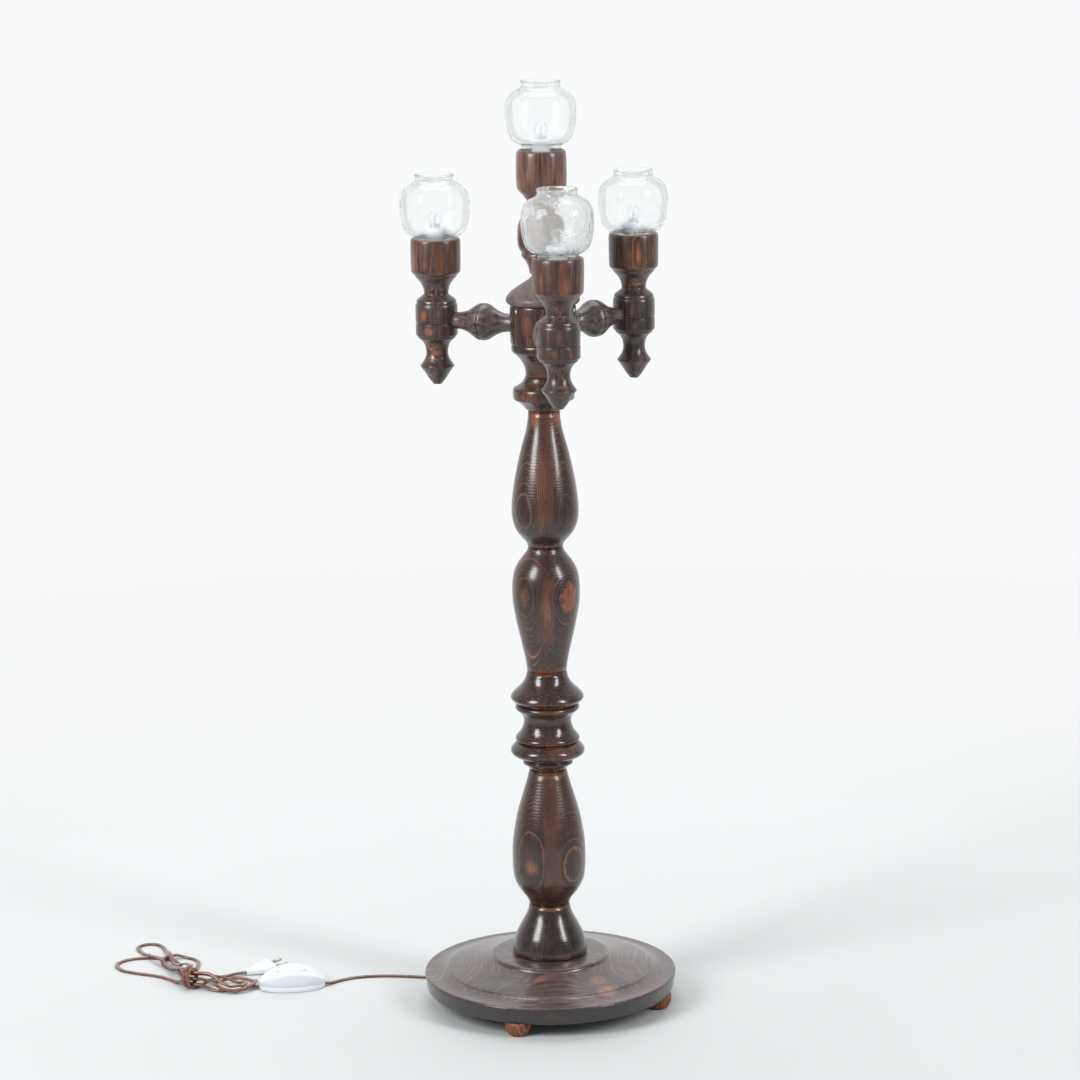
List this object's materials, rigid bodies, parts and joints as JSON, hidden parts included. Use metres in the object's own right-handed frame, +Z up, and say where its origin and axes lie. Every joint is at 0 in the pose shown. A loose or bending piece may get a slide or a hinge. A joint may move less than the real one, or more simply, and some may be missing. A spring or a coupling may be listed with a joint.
{
  "type": "candlestick floor lamp",
  "caption": "Turned wooden floor lamp: round base, baluster column, level arms and a centre candle, each with a clear glass shade, and a lead with foot switch and plug.",
  "frame": {"origin": "On the floor, at the centre of the lamp's own box without the lead. The column stands 13.45 mm behind it, because one arm reaches to the front.", "axes": "+Z up along the column, -Y towards the front arm, +X to the right"},
  "size_m": [0.7076, 0.4821, 1.1505],
  "materials": {
    "base_wood": "dark grey-brown stain, satin lacquer",
    "column_wood": "dark brown stain, gloss lacquer",
    "candle_wood": "dark brown stain with reddish streaks, gloss lacquer",
    "foot_wood": "orange-brown stain, satin",
    "steel": "plain zinc-plated",
    "bulb_metal": "bright",
    "pin_metal": "nickel-plated",
    "white_plastic": "moulded white, half gloss",
    "brown_plastic": "moulded brown",
    "brown_flex": "soft brown PVC, half gloss",
    "bulb_glass": "clear",
    "shade_glass": "clear blown glass with slight waves and seeds"
  },
  "bodies": {
    "stand": {"base_disc": "base_wood", "foot_1": "foot_wood", "foot_2": "foot_wood", "foot_3": "foot_wood", "foot_4": "foot_wood", "foot_screw_1": "steel", "foot_screw_2": "steel", "foot_screw_3": "steel", "foot_screw_4": "steel", "threaded_rod": "steel", "base_washer": "steel", "base_nut": "steel", "column_bell": "column_wood", "lower_baluster": "column_wood", "bead_ring": "column_wood", "spool_ring": "column_wood", "knop": "column_wood", "middle_baluster": "column_wood", "upper_baluster": "column_wood", "hub_collar": "column_wood", "hub_block": "column_wood", "hub_cap": "base_wood", "hub_pin_1": "steel", "hub_pin_2": "steel", "hub_pin_3": "steel", "centre_candle": "candle_wood", "arm_spindle_1": "candle_wood", "arm_spindle_2": "candle_wood", "arm_spindle_3": "candle_wood", "arm_candle_1": "candle_wood", "arm_candle_2": "candle_wood", "arm_candle_3": "candle_wood", "lampholder_1": "white_plastic", "lampholder_2": "white_plastic", "lampholder_3": "white_plastic", "lampholder_4": "white_plastic", "bulb_base_1": "bulb_metal", "bulb_base_2": "bulb_metal", "bulb_base_3": "bulb_metal", "bulb_base_4": "bulb_metal", "bulb_glass_1": "bulb_glass", "bulb_glass_2": "bulb_glass", "bulb_glass_3": "bulb_glass", "bulb_glass_4": "bulb_glass", "cord_gland": "brown_plastic", "cord_free": "brown_flex", "switch_base": "white_plastic", "switch_cover": "white_plastic", "cord_hank": "brown_flex", "plug_body": "white_plastic", "plug_pin_1": "pin_metal", "plug_pin_2": "pin_metal"},
    "shade_centre": {"glass_shade_1": "shade_glass"},
    "shade_front": {"glass_shade_2": "shade_glass"},
    "shade_right": {"glass_shade_3": "shade_glass"},
    "shade_left": {"glass_shade_4": "shade_glass"},
    "button": {"switch_button": "white_plastic"}
  },
  "joints": [
    {"name": "centre_shade_lift", "type": "slide", "parent": "stand", "child": "shade_centre", "axis": [0, 0, 1], "range_m": [0, 0.06]},
    {"name": "front_shade_lift", "type": "slide", "parent": "stand", "child": "shade_front", "axis": [0, 0, 1], "range_m": [0, 0.06]},
    {"name": "right_shade_lift", "type": "slide", "parent": "stand", "child": "shade_right", "axis": [0, 0, 1], "range_m": [0, 0.06]},
    {"name": "left_shade_lift", "type": "slide", "parent": "stand", "child": "shade_left", "axis": [0, 0, 1], "range_m": [0, 0.06]},
    {"name": "button_press", "type": "slide", "parent": "stand", "child": "button", "axis": [0, 0, -1], "range_m": [0, 0.0025], "stiffness_N_per_m": 800, "springref_m": -0.001}
  ]
}
